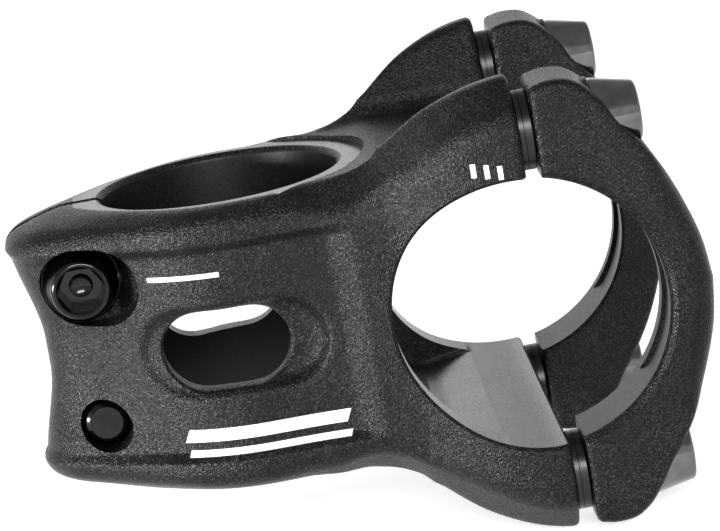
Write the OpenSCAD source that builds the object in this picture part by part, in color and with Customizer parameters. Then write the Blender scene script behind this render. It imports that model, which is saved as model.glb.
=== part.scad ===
// Short mountain-bike handlebar stem with two separate C-shaped faceplates.
// Origin: on the steerer axis, level with the handlebar axis.
// +X points forward to the handlebar, +Y to the rider's left, +Z up.

/* [Clamps] */
// Diameter of the fork steerer that the rear clamp grips
steerer_d = 28.6; // [23:0.1:28.8]
// Diameter of the handlebar that the front clamp grips
bar_d = 31.8; // [25.4:0.1:32]
// Distance from the steerer axis to the handlebar axis
reach = 33; // [33:0.5:45]
// Height of the steerer clamp
clamp_h = 34.4; // [33:0.2:44]
// Width over the outer faces of the two faceplates
bar_clamp_w = 54.4; // [46:0.2:66]
// Diameter allowance of both clamp bores before they are tightened
clamp_allowance = 0.1; // [0.02:0.02:0.3]

/* [Body] */
// Wall beside the steerer
side_wall = 3.95; // [3.4:0.05:5]
// How far the body reaches behind the steerer bore at its waist
rear_reach = 10.35; // [10:0.05:13]
// Radius of the rounded rear of the waist
rear_r = 9; // [6:0.1:9.4]
// How far the top and bottom flanges stand out of the side walls
flange_out = 1.2; // [0.4:0.1:2]
// How far the flanges stand out at the rear
flange_rear_out = 2.4; // [0.8:0.1:3]
// Height of each flange
flange_h = 4.6; // [3:0.1:6]
// Width of the slit at the back of the steerer clamp
slit_w = 1.5; // [1:0.1:2.5]
// How far the body's front face stands ahead of the handlebar axis
split_lead = 1.7; // [1:0.1:3]
// How far each side of the body stands out past its faceplate
shoulder_out = 0.6; // [0:0.1:1.5]
// Metal above and below the handlebar bore between the horns
web_t = 2.5; // [2:0.1:4]
// Metal round each clamp bolt at the top of its horn
boss_wall = 3.8; // [3:0.1:6]
// Depth of the stepped seats for the headset spacers
seat_step = 0.8; // [0.2:0.1:1.2]
// Radius of the spacer seats outside the steerer bore wall
seat_margin = 3.65; // [2:0.05:5]

/* [Openings] */
// Length of the window in each side of the steerer clamp
window_l = 15.2; // [8:0.2:18]
// Height of the side windows
window_h = 9.7; // [6:0.1:10]
// Distance of the windows' centre behind the steerer axis
window_back = 2.5; // [0:0.1:3]
// Length of the shallow recess round each window
recess_l = 22.3; // [19:0.1:23]
// Height of the recess round each window
recess_h = 10.9; // [10.2:0.1:11.2]
// How far the recess reaches ahead of the window
recess_lead = 4.5; // [2:0.1:5]
// Wall left between the recess floor and the steerer bore
recess_floor = 2.5; // [1.5:0.1:3]
// Wall between the steerer bore and the pocket behind the handlebar
pocket_wall = 2.85; // [2.6:0.05:4]
// Metal left between the pocket and the outer sides of the arms
pocket_side = 4.6; // [4:0.1:7]
// Metal above and below the pocket, inside the web
pocket_web = 3.4; // [2.5:0.1:4]

/* [Faceplates] */
// Width of each faceplate
plate_w = 10.6; // [9.8:0.1:13]
// Thickness of each faceplate at its middle
plate_t = 5.9; // [4:0.1:8]
// Gap between the body and each faceplate
clamp_gap = 1.8; // [1.5:0.1:3]
// Thickness of the faceplate under the bolt washers
boss_t = 6.5; // [5:0.1:8]
// Width of the arc groove inside each faceplate
groove_w = 5.8; // [3:0.1:6.6]
// Depth of the arc groove inside each faceplate
groove_depth = 0.3; // [0.1:0.05:0.3]

/* [Bolts] */
// Thread diameter of all bolts
bolt_d = 6; // [5:0.1:7.2]
// Diameter of each bolt head at its base
head_base_d = 9.2; // [8.6:0.1:9.6]
// Diameter of each bolt head at its tip
head_tip_d = 7; // [6.8:0.1:8]
// Length of each bolt head
head_l = 5.4; // [4:0.1:6]
// Size across the flats of the hexagon sockets
socket_af = 5; // [4:0.5:5.5]
// Depth of the hexagon sockets
socket_depth = 3.2; // [2:0.1:3.6]
// Thread length of the clamp bolts inside the body
clamp_bite = 6.9; // [5:0.1:7.2]
// Thickness of the washers
washer_t = 0.7; // [0.4:0.1:1.2]
// Metal between the handlebar bore and each clamp bolt
bolt_edge = 1.65; // [1.4:0.05:3]
// Distance of the pinch bolts from the middle of the steerer clamp
pinch_z = 8.6; // [8.2:0.1:10]
// Metal between the steerer bore and each pinch bolt
pinch_edge = 1.05; // [0.8:0.05:1.1]
// Distance from the slit's middle to the seat of a pinch bolt's washer
pinch_seat = 4.4; // [3.5:0.1:4.8]
// Reach of a pinch bolt past the slit's middle
pinch_bite = 7.4; // [5:0.1:8]

/* [Thread inserts] */
// Diameter of the collar that shows in the clamp gap
collar_d = 9.4; // [8.8:0.1:9.4]
// Height of the collar
collar_h = 1.4; // [0.6:0.1:1.4]
// Wall of the insert's sleeve
sleeve_wall = 0.6; // [0.4:0.05:0.9]

/* [Hidden] */
$fn = 96;

// Clearances
run_gap = 0.05;      // radial, between a bolt and what it turns in
pass_gap = 0.3;      // radial, between a bolt and a plain hole
head_gap = 0.2;      // radial, between a washer and its counterbore
chamfer = 0.6;       // on bolt tips
past = 1;            // how far a cut runs past a face
inside = 0.995;      // draws a flat a hair inside the arcs it joins

// Bores and stations along X
steerer_r = (steerer_d + clamp_allowance) / 2;
bar_r = (bar_d + clamp_allowance) / 2;
bolt_r = bolt_d / 2;
split_x = reach + split_lead;
plate_x = split_x + clamp_gap;
plate_seat_x = plate_x + boss_t;
front_x = reach + bar_r + plate_t;
half_h = clamp_h / 2;

// Clamp bolts
bolt_z = bar_r + bolt_edge + bolt_r;
bolt_y = (bar_clamp_w - plate_w) / 2;
horn_h = bolt_z + bolt_r + boss_wall;
horn_inner_y = bar_clamp_w / 2 - plate_w;
web_z = max(bar_r + web_t, half_h + seat_step);
washer_d = head_base_d + 0.4;

// Plan of the steerer clamp
side_x = 1;
side_r = steerer_r + side_wall;
waist_rear_x = -steerer_r - rear_reach;
flare_from = 9.5;
arm_half_w = bar_clamp_w / 2 + shoulder_out;
horn_from = 7.5;
curve_steps = 10;

// Pinch bolts
pinch_x = -steerer_r - pinch_edge - bolt_r;
pinch_cb_r = washer_d / 2 + head_gap / 2;
pinch_mouth_r = pinch_cb_r + 0.1;
pinch_mouth_y = pinch_seat + 4.6;
pinch_mouth_lead = 1.8;

// Pocket behind the handlebar
pocket_x = steerer_r + pocket_wall;
pocket_z = web_z - pocket_web;

function s_curve(t) = t * t * (3 - 2 * t);
function tangent_sin(d, r1, r2) = (r1 - r2) / d;

// Half width of the body at x, from a given half width beside the steerer
function half_width(x, from_w) =
    from_w + (arm_half_w - from_w) * s_curve(max(0, (x - flare_from) / (split_x - flare_from)));
function horn_height(x) =
    half_h + (horn_h - half_h) * s_curve(max(0, (x - horn_from) / (split_x - horn_from)));
function steps_between(a, b) = [for (i = [0:curve_steps]) a + (b - a) * i / curve_steps];

module along_y(h) rotate([90, 0, 0]) linear_extrude(h, center = true) children();
module y_cylinder(r, from_y, to_y) translate([0, from_y, 0]) rotate([-90, 0, 0]) cylinder(r = r, h = to_y - from_y);
module x_cylinder(r, from_x, to_x) translate([from_x, 0, 0]) rotate([0, 90, 0]) cylinder(r = r, h = to_x - from_x);
module at_clamp_bolt(side, level) translate([0, side * bolt_y, level * bolt_z]) children();
module at_each_clamp_bolt() for (side = [-1, 1], level = [-1, 1]) at_clamp_bolt(side, level) children();

// Slot shape with round ends, lying along X
module slot_2d(l, h) {
    for (s = [-1, 1]) translate([s * (l - h) / 2, 0]) circle(d = h);
    square([l - h, h], center = true);
}

// Plan of the body: rounded behind, tapering out to the sides, then flaring forward to the arms
module plan_2d(w, back_x, back_r) {
    d = side_x - (back_x + back_r);
    s = tangent_sin(d, w, back_r);
    c = sqrt(1 - s * s);
    translate([side_x, 0]) circle(r = w);
    translate([back_x + back_r, 0]) circle(r = back_r);
    for (m = [0, 1]) mirror([0, m]) polygon([
        [side_x, 0], [back_x + back_r, 0],
        [back_x + back_r - back_r * s * inside, back_r * c * inside], [side_x - w * s * inside, w * c * inside]
    ]);
    flare = [for (x = steps_between(flare_from, split_x)) [x, half_width(x, w)]];
    for (m = [0, 1]) mirror([0, m]) polygon(concat([[split_x, 0], [side_x, 0], [side_x, w]], flare));
}

// Side view of the body: level over the steerer clamp, rising to the horns
module side_2d() {
    back = waist_rear_x - flange_rear_out - past;
    rise = [for (x = steps_between(horn_from, split_x)) [x, horn_height(x)]];
    for (m = [0, 1]) mirror([0, m]) polygon(concat([[split_x, 0], [back, 0], [back, half_h]], rise));
}

module body_blank() {
    flange_w = side_r + flange_out;
    flange_back = waist_rear_x - flange_rear_out;
    linear_extrude(2 * (half_h - flange_h), center = true) plan_2d(side_r, waist_rear_x, rear_r);
    intersection() {
        union() {
            linear_extrude(2 * horn_h, center = true) plan_2d(side_r, waist_rear_x, rear_r);
            for (m = [0, 1]) mirror([0, 0, m]) translate([0, 0, half_h - flange_h])
                linear_extrude(flange_h) plan_2d(flange_w, flange_back, rear_r + flange_out / 2);
        }
        along_y(2 * arm_half_w + 2 * past) side_2d();
    }
}

// Space between the horns, above or below the web
module valley() {
    for (m = [0, 1]) mirror([0, 0, m]) {
        translate([horn_from, -horn_inner_y, web_z]) cube([split_x, 2 * horn_inner_y, horn_h]);
        translate([0, 0, half_h]) cylinder(r = steerer_r + seat_margin, h = horn_h);
    }
}

module window_cuts() {
    recess_x = -window_back - (window_l + recess_l) / 2 + recess_lead + window_l;
    recess_y = steerer_r + recess_floor;
    translate([-window_back, 0, 0]) along_y(2 * arm_half_w) slot_2d(window_l, window_h);
    for (m = [0, 1]) mirror([0, m, 0]) translate([recess_x, recess_y + arm_half_w / 2, 0])
        along_y(arm_half_w) slot_2d(recess_l, recess_h);
}

// Hollow between the arms, open into the handlebar bore
module pocket() {
    r = 4;
    intersection() {
        linear_extrude(2 * pocket_z, center = true) polygon([
            for (m = [1, -1]) for (p = m > 0 ? [[pocket_x, 1], [reach, 1]] : [[reach, -1], [pocket_x, -1]])
                [p[0], p[1] * (half_width(p[0], side_r) - pocket_side)]
        ]);
        along_y(2 * arm_half_w) {
            translate([pocket_x + r, -pocket_z]) square([reach, 2 * pocket_z]);
            translate([pocket_x, -pocket_z + r]) square([reach, 2 * pocket_z - 2 * r]);
            for (s = [-1, 1]) translate([pocket_x + r, s * (pocket_z - r)]) circle(r = r);
        }
    }
}

// Holes for one pinch bolt, whose head is on the right
module pinch_cuts() {
    translate([pinch_x, 0, pinch_z]) {
        y_cylinder(bolt_r + pass_gap, -2 * side_r, 0);
        y_cylinder(bolt_r + run_gap, 0, 2 * side_r);
        y_cylinder(pinch_cb_r, -2 * side_r, -pinch_seat);
        translate([pinch_mouth_lead / 2, -pinch_mouth_y - side_r, 0]) along_y(2 * side_r)
            slot_2d(pinch_mouth_lead + 2 * pinch_mouth_r, 2 * pinch_mouth_r);
    }
}

module stem_body() {
    color([0.10, 0.10, 0.11]) difference() {
        body_blank();
        valley();
        cylinder(r = steerer_r, h = 2 * horn_h, center = true);
        translate([reach, 0, 0]) y_cylinder(bar_r, -arm_half_w - past, arm_half_w + past);
        translate([2 * waist_rear_x, -slit_w / 2, -half_h - past]) cube([-2 * waist_rear_x, slit_w, clamp_h + 2 * past]);
        window_cuts();
        pocket();
        at_each_clamp_bolt() x_cylinder(bolt_r + run_gap + sleeve_wall, split_x - clamp_bite, split_x + past);
        pinch_cuts();
        rotate([180, 0, 0]) pinch_cuts();
    }
}

// Side view of a faceplate: a round front with straight cheeks up to the bolt bosses
module plate_2d() {
    outer_r = front_x - reach;
    cheek_x = plate_seat_x - 0.8;
    cheek_z = bolt_z + head_base_d / 2 + 0.4;
    d = norm([cheek_x - reach, cheek_z]);
    a = atan2(cheek_z, cheek_x - reach) - acos(outer_r / d);
    top_z = horn_h - 1;
    arc = [for (i = [-curve_steps:curve_steps]) reach + outer_r * cos(a * i / curve_steps)];
    difference() {
        polygon(concat(
            [[plate_x, -top_z], [cheek_x - 1.4, -top_z], [cheek_x, -cheek_z]],
            [for (i = [-curve_steps:curve_steps]) [arc[i + curve_steps], outer_r * sin(a * i / curve_steps)]],
            [[cheek_x, cheek_z], [cheek_x - 1.4, top_z], [plate_x, top_z]]
        ));
        translate([reach, 0]) circle(r = bar_r);
    }
}

module faceplate(side) {
    groove_from = reach + bar_r * 0.68;
    color([0.10, 0.10, 0.11]) difference() {
        translate([0, side * bolt_y, 0]) along_y(plate_w) plate_2d();
        at_each_clamp_bolt() {
            x_cylinder(bolt_r + pass_gap, plate_x - past, front_x);
            x_cylinder(washer_d / 2 + head_gap, plate_seat_x, front_x);
        }
        intersection() {
            translate([reach, side * bolt_y, 0]) y_cylinder(bar_r + groove_depth, -groove_w / 2, groove_w / 2);
            translate([groove_from, -arm_half_w, -bar_r]) cube([bar_r + plate_t, 2 * arm_half_w, 2 * bar_r]);
        }
    }
}

// Threaded insert: a sleeve in the body and a collar on the clamp gap
module insert(side, level) {
    color([0.16, 0.16, 0.17]) at_clamp_bolt(side, level) difference() {
        union() {
            x_cylinder(bolt_r + run_gap + sleeve_wall, split_x - clamp_bite, split_x);
            x_cylinder(collar_d / 2, split_x, split_x + collar_h);
        }
        x_cylinder(bolt_r + run_gap, split_x - clamp_bite - past, plate_x);
    }
}

// Bolt along +X, with its head's base at x = 0 and its tip at x = -length
module bolt(length) {
    rim = 0.4;
    difference() {
        rotate([0, 90, 0]) rotate_extrude() polygon([
            [0, -length], [bolt_r - chamfer, -length], [bolt_r, -length + chamfer], [bolt_r, 0],
            [head_base_d / 2, 0], [head_base_d / 2, rim], [head_tip_d / 2 + rim, head_l - rim],
            [head_tip_d / 2, head_l], [0, head_l]
        ]);
        translate([head_l - socket_depth, 0, 0]) rotate([0, 90, 0])
            cylinder(d = socket_af / cos(30), h = socket_depth + past, $fn = 6);
    }
}

module washer() {
    difference() {
        x_cylinder(washer_d / 2, 0, washer_t);
        x_cylinder(bolt_r + run_gap, -past, washer_t + past);
    }
}

module clamp_bolt(side, level) {
    color([0.05, 0.05, 0.055]) at_clamp_bolt(side, level) translate([plate_seat_x + washer_t, 0, 0])
        bolt(plate_seat_x + washer_t - split_x + clamp_bite);
}

module clamp_washer(side, level) {
    color([0.08, 0.08, 0.085]) at_clamp_bolt(side, level) translate([plate_seat_x, 0, 0]) washer();
}

// Puts a piece made along +X at the upper pinch bolt, with its head on the right
module at_pinch(y) translate([pinch_x, -y, pinch_z]) rotate([0, 0, -90]) children();

module pinch_bolt() {
    color([0.05, 0.05, 0.055]) at_pinch(pinch_seat + washer_t) bolt(pinch_seat + washer_t + pinch_bite);
}

module pinch_washer() {
    color([0.08, 0.08, 0.085]) at_pinch(pinch_seat) washer();
}

stem_body();
faceplate(-1);  // faceplate_right
faceplate(1);  // faceplate_left
insert(-1, 1);  // insert_right_top
insert(-1, -1);  // insert_right_bottom
insert(1, 1);  // insert_left_top
insert(1, -1);  // insert_left_bottom
clamp_bolt(-1, 1);  // bolt_right_top
clamp_bolt(-1, -1);  // bolt_right_bottom
clamp_bolt(1, 1);  // bolt_left_top
clamp_bolt(1, -1);  // bolt_left_bottom
clamp_washer(-1, 1);  // washer_right_top
clamp_washer(-1, -1);  // washer_right_bottom
clamp_washer(1, 1);  // washer_left_top
clamp_washer(1, -1);  // washer_left_bottom
pinch_bolt();  // pinch_bolt_upper
rotate([180, 0, 0]) pinch_bolt();  // pinch_bolt_lower
pinch_washer();  // pinch_washer_upper
rotate([180, 0, 0]) pinch_washer();  // pinch_washer_lower
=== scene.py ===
import math
import bpy
import bmesh
import numpy as np
from mathutils import Matrix, Vector


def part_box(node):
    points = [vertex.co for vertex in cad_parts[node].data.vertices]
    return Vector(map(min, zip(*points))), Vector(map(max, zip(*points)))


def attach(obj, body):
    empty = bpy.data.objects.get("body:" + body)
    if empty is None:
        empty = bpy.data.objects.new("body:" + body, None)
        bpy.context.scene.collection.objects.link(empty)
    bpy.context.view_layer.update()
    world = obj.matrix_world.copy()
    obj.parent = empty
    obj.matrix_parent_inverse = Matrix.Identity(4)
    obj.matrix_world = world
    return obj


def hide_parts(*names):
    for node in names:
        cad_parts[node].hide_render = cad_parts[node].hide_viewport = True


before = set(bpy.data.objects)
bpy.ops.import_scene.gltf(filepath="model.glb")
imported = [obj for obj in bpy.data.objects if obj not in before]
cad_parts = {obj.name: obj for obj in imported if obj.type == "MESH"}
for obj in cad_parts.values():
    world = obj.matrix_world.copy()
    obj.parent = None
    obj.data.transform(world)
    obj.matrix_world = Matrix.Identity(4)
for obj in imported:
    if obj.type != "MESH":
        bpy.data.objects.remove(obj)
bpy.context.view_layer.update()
print("frame loaded:", len(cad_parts), "nodes")

mm = 0.001  # shapes are worked out in millimetres and stored in metres
perMetre = 1 / mm


def ease(v, a, b):
    t = np.clip((v - a) / (b - a), 0, 1)
    return t * t * (3 - 2 * t)


def between(v, low, high):
    return (v > low) & (v < high)


def unit(rows):
    return rows / np.linalg.norm(rows, axis=1)[:, None]


def blendMax(a, b, radius):
    # the greater of two fields, with the corner between them rounded to about the radius
    k = 1.17 * radius
    return np.maximum(a, b) + np.maximum(k - np.abs(a - b), 0) ** 2 / (4 * k)


def blendMin(a, b, radius):
    return -blendMax(-a, -b, radius)


def smoothCurve(points, samples=1600):
    # a soft curve through (x, value) pairs
    xs, ys = np.array(points, float).T
    slope = np.gradient(ys, xs)
    fine = np.linspace(xs[0], xs[-1], samples)
    i = np.clip(np.searchsorted(xs, fine) - 1, 0, len(xs) - 2)
    h = xs[i + 1] - xs[i]
    t = (fine - xs[i]) / h
    values = ((2 * t**3 - 3 * t**2 + 1) * ys[i] + (t**3 - 2 * t**2 + t) * h * slope[i]
              + (3 * t**2 - 2 * t**3) * ys[i + 1] + (t**3 - t**2) * h * slope[i + 1])
    return lambda x: np.interp(x, fine, values)


def slotShape(x, z, length, height):
    return np.hypot(np.maximum(np.abs(x) - (length - height) / 2, 0), z) - height / 2


def meshPiece(name, verts, faces):
    mesh = bpy.data.meshes.new(name)
    mesh.from_pydata((np.asarray(verts) * mm).tolist(), [], [list(map(int, f)) for f in faces])
    mesh.update()
    piece = bpy.data.objects.new(name, mesh)
    bpy.context.scene.collection.objects.link(piece)
    return piece


def dropPiece(piece):
    data = piece.data
    bpy.data.objects.remove(piece)
    bpy.data.meshes.remove(data)


def fieldSlope(field, p, step=0.01):
    grad = np.empty_like(p)
    for axis in range(3):
        d = np.zeros(3)
        d[axis] = step
        grad[:, axis] = (field(*(p + d).T) - field(*(p - d).T)) / (2 * step)
    return grad


def skinField(name, field, low, high, cell):
    # a closed quad skin over the zero level of a field that is negative inside
    axes = [np.arange(a, b + cell, cell) for a, b in zip(low, high)]
    grid = np.meshgrid(*axes, indexing="ij")
    values = field(*grid)
    inside = values < 0
    n = values.shape
    corners = [(i, j, k) for i in (0, 1) for j in (0, 1) for k in (0, 1)]

    def corner(a, c):
        return a[c[0]:n[0] - 1 + c[0], c[1]:n[1] - 1 + c[1], c[2]:n[2] - 1 + c[2]]

    count = sum(corner(inside, c).astype(np.int8) for c in corners)
    cells = np.argwhere((count > 0) & (count < 8))
    order = -np.ones((n[0] - 1, n[1] - 1, n[2] - 1), np.int64)
    order[tuple(cells.T)] = np.arange(len(cells))

    # one point in each cell, at the middle of where the surface crosses the cell's edges
    spot = np.zeros((len(cells), 3))
    hits = np.zeros(len(cells))
    for c in corners:
        for axis in range(3):
            if c[axis]:
                continue
            e = list(c)
            e[axis] = 1
            va = values[tuple((cells + c).T)]
            vb = values[tuple((cells + e).T)]
            cross = (va < 0) != (vb < 0)
            t = np.where(cross, va / np.where(cross, va - vb, 1), 0)
            at = np.tile(np.array(c, float), (len(cells), 1))
            at[:, axis] = t
            spot += at * cross[:, None]
            hits += cross
    base = np.array([a[0] for a in axes])
    p = base + (cells + spot / hits[:, None]) * cell
    middle = base + (cells + 0.5) * cell
    for _ in range(4):  # slide each point on to the true surface, but stay near its cell
        slope = fieldSlope(field, p)
        move = -(field(*p.T) / np.maximum((slope * slope).sum(1), 0.05))[:, None] * slope
        p = np.clip(p + np.clip(move, -0.5 * cell, 0.5 * cell), middle - 0.95 * cell, middle + 0.95 * cell)

    # one face for each grid edge that crosses the surface
    faces = []
    for axis in range(3):
        b, c = (axis + 1) % 3, (axis + 2) % 3
        first = np.take(inside, range(n[axis] - 1), axis)
        second = np.take(inside, range(1, n[axis]), axis)
        edges = np.argwhere(first != second)
        edges = edges[between(edges[:, b], 0, n[b] - 1) & between(edges[:, c], 0, n[c] - 1)]
        quad = []
        for db, dc in ((-1, -1), (0, -1), (0, 0), (-1, 0)):
            at = edges.copy()
            at[:, b] += db
            at[:, c] += dc
            quad.append(order[tuple(at.T)])
        quad = np.stack(quad, 1)
        fromInside = first[tuple(edges.T)]
        quad[~fromInside] = quad[~fromInside][:, ::-1]
        faces.append(quad)
    return meshPiece(name, p, np.concatenate(faces))


def axisMatrix(origin, direction):
    # turns a lathe's own +Z to the direction and moves it to the origin, in millimetres
    turn = Vector((0, 0, 1)).rotation_difference(Vector(direction)).to_matrix().to_4x4()
    return np.array(Matrix.Translation(Vector(origin)) @ turn)


def placed(points, matrix):
    return np.asarray(points) @ matrix[:3, :3].T + matrix[:3, 3]


def faceOut(piece):
    bm = bmesh.new()
    bm.from_mesh(piece.data)
    bmesh.ops.recalc_face_normals(bm, faces=bm.faces)
    if bm.calc_volume(signed=True) < 0:
        bmesh.ops.reverse_faces(bm, faces=bm.faces)
    bm.to_mesh(piece.data)
    bm.free()
    return piece


def ringAngles(steps):
    return np.arange(steps) * 2 * math.pi / steps


def stackFaces(rings, steps, looped=False):
    # joins equal rings of points; the two points after them close the ends, unless the rings form a loop
    faces = []
    for i in range(rings if looped else rings - 1):
        j = (i + 1) % rings
        for s in range(steps):
            t = (s + 1) % steps
            faces.append((i * steps + s, i * steps + t, j * steps + t, j * steps + s))
    if not looped:
        first, last = rings * steps, (rings - 1) * steps
        for s in range(steps):
            t = (s + 1) % steps
            faces.append((first, t, s))
            faces.append((first + 1, last + s, last + t))
    return faces


def lathe(name, profile, origin, direction, steps, ring=False):
    # profile: (along, radius) pairs, both ends on the axis; a ring joins its last pair to the first instead
    rows = profile if ring else profile[1:-1]
    verts = [(r * math.cos(a), r * math.sin(a), h) for h, r in rows for a in ringAngles(steps)]
    if not ring:
        verts += [(0, 0, profile[0][0]), (0, 0, profile[-1][0])]
    faces = stackFaces(len(rows), steps, ring)
    return faceOut(meshPiece(name, placed(verts, axisMatrix(origin, direction)), faces))


def cylinder(name, radius, low, high, origin, direction, steps):
    return lathe(name, [(low, 0), (low, radius), (high, radius), (high, 0)], origin, direction, steps)


def prism(name, outline, low, high, axis):
    # outline: (x, z) pairs drawn along Y, or (x, y) pairs drawn along Z
    put = {"y": lambda u, v, w: (u, w, v), "z": lambda u, v, w: (u, v, w)}[axis]
    n = len(outline)
    verts = [put(u, v, w) for w in (low, high) for u, v in outline]
    faces = [tuple(range(n)), tuple(range(2 * n - 1, n - 1, -1))]
    faces += [(i, (i + 1) % n, n + (i + 1) % n, n + i) for i in range(n)]
    return faceOut(meshPiece(name, verts, faces))


def roundOutline(length, height, centre, steps=28):
    # a slot with half round ends
    half, r = (length - height) / 2, height / 2
    points = []
    for side in (1, -1):
        for i in range(steps + 1):
            a = math.pi * (i / steps - 0.5)
            u, v = half + r * math.cos(a), r * math.sin(a)
            points.append((centre[0] + side * u, centre[1] + side * v))
    return points


def edgeBreak(name, points, inward, along, size, closed):
    # a diamond-section cutter that follows an edge and takes its sharp corner off
    p, u, v = (np.asarray(a, float) for a in (points, inward, along))
    n = len(p)
    verts = np.concatenate([p + u * size, p + v * size, p - u * size, p - v * size])
    faces = []
    for i in range(n if closed else n - 1):
        j = (i + 1) % n
        for s in range(4):
            t = (s + 1) % 4
            faces.append((s * n + i, s * n + j, t * n + j, t * n + i))
    if not closed:
        faces += [(0, n, 2 * n, 3 * n), (4 * n - 1, 3 * n - 1, 2 * n - 1, n - 1)]
    return faceOut(meshPiece(name, verts, faces))


def finishWith(piece, *names):
    piece.data.materials.clear()
    for name in names:
        piece.data.materials.append(finishes[name])


def combine(piece, tools, operation):
    # works closed tools into a piece and keeps only the result
    for tool in tools:
        modifier = piece.modifiers.new(tool.name, "BOOLEAN")
        modifier.operation = operation
        modifier.solver = "MANIFOLD"
        modifier.object = tool
    mesh = bpy.data.meshes.new_from_object(piece.evaluated_get(bpy.context.evaluated_depsgraph_get()))
    old = piece.data
    piece.modifiers.clear()
    piece.data = mesh
    bpy.data.meshes.remove(old)
    for tool in tools:
        dropPiece(tool)
    return piece


def carve(piece, cutters):
    return combine(piece, cutters, "DIFFERENCE")


def tidy(piece, angle):
    # welds what the cuts left, drops slivers, and keeps only real edges sharp
    least = 2e-6  # metres
    bm = bmesh.new()
    bm.from_mesh(piece.data)
    bmesh.ops.remove_doubles(bm, verts=bm.verts, dist=least)
    bmesh.ops.dissolve_degenerate(bm, edges=bm.edges, dist=least)
    loose = [v for v in bm.verts if not v.link_faces]
    bmesh.ops.delete(bm, geom=loose, context="VERTS")
    bm.to_mesh(piece.data)
    bm.free()
    piece.data.shade_smooth()
    piece.data.set_sharp_from_angle(angle=math.radians(angle))


def faceCentres(piece):
    n = len(piece.data.polygons)
    centres, normals = np.empty(n * 3), np.empty(n * 3)
    piece.data.polygons.foreach_get("center", centres)
    piece.data.polygons.foreach_get("normal", normals)
    return centres.reshape(-1, 3) / mm, normals.reshape(-1, 3)


def feed(tree, value, socket):
    # links another node's output, or sets a plain value
    if isinstance(value, bpy.types.NodeSocket):
        tree.links.new(value, socket)
    else:
        socket.default_value = value


def mathNode(tree, operation, a, b=None, clamp=False):
    node = tree.nodes.new("ShaderNodeMath")
    node.operation = operation
    node.use_clamp = clamp
    feed(tree, a, node.inputs[0])
    if b is not None:
        feed(tree, b, node.inputs[1])
    return node.outputs[0]


def remap(tree, value, fromRange, toRange):
    node = tree.nodes.new("ShaderNodeMapRange")
    tree.links.new(value, node.inputs["Value"])
    for key, v in zip(("From Min", "From Max", "To Min", "To Max"), (*fromRange, *toRange)):
        feed(tree, v, node.inputs[key])
    return node.outputs[0]


def mixColour(tree, factor, first, second):
    # in a colour mix node the colour sockets are the seventh and eighth inputs, and the third output
    node = tree.nodes.new("ShaderNodeMix")
    node.data_type = "RGBA"
    tree.links.new(factor, node.inputs[0])
    feed(tree, first, node.inputs[6])
    feed(tree, second, node.inputs[7])
    return node.outputs[2]


def newGroup(name, inputs, outputs):
    # one number makes a value socket, three a vector and four a colour
    kinds = {1: "NodeSocketFloat", 3: "NodeSocketVector", 4: "NodeSocketColor"}
    group = bpy.data.node_groups.new(name, "ShaderNodeTree")
    for label, value in inputs.items():
        kind = kinds[len(value) if isinstance(value, tuple) else 1]
        group.interface.new_socket(label, in_out="INPUT", socket_type=kind).default_value = value
    for label in outputs:
        group.interface.new_socket(label, in_out="OUTPUT", socket_type=kinds[4 if label == "Color" else 1])
    return group, group.nodes.new("NodeGroupInput").outputs, group.nodes.new("NodeGroupOutput").inputs


def objectPosition(tree):
    return tree.nodes.new("ShaderNodeTexCoord").outputs["Object"]


def noise(tree, position, scale, detail, rough):
    node = tree.nodes.new("ShaderNodeTexNoise")
    node.inputs["Detail"].default_value = detail
    node.inputs["Roughness"].default_value = rough
    tree.links.new(position, node.inputs["Vector"])
    feed(tree, scale, node.inputs["Scale"])
    return node.outputs["Fac"]


def weighted(tree, first, firstShare, second, secondShare):
    return mathNode(tree, "ADD", mathNode(tree, "MULTIPLY", first, firstShare),
                    mathNode(tree, "MULTIPLY", second, secondShare))


# grain settings; the rarity and patch settings set how many painted glints there are
peening = {
    "smoothness": 0.6, "dimples": 0.5, "fineScale": 0.9,
    "patchScale": 170.0, "patchRange": (0.35, 0.65), "patchFlecks": (0.5, 1.3),
    "paintedGlintRarity": 6.0, "roughFine": 0.7, "roughPatch": 0.3, "roughGrain": 0.6, "roughGrit": 0.4,
    "roughRange": (0.25, 0.75),
}


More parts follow.
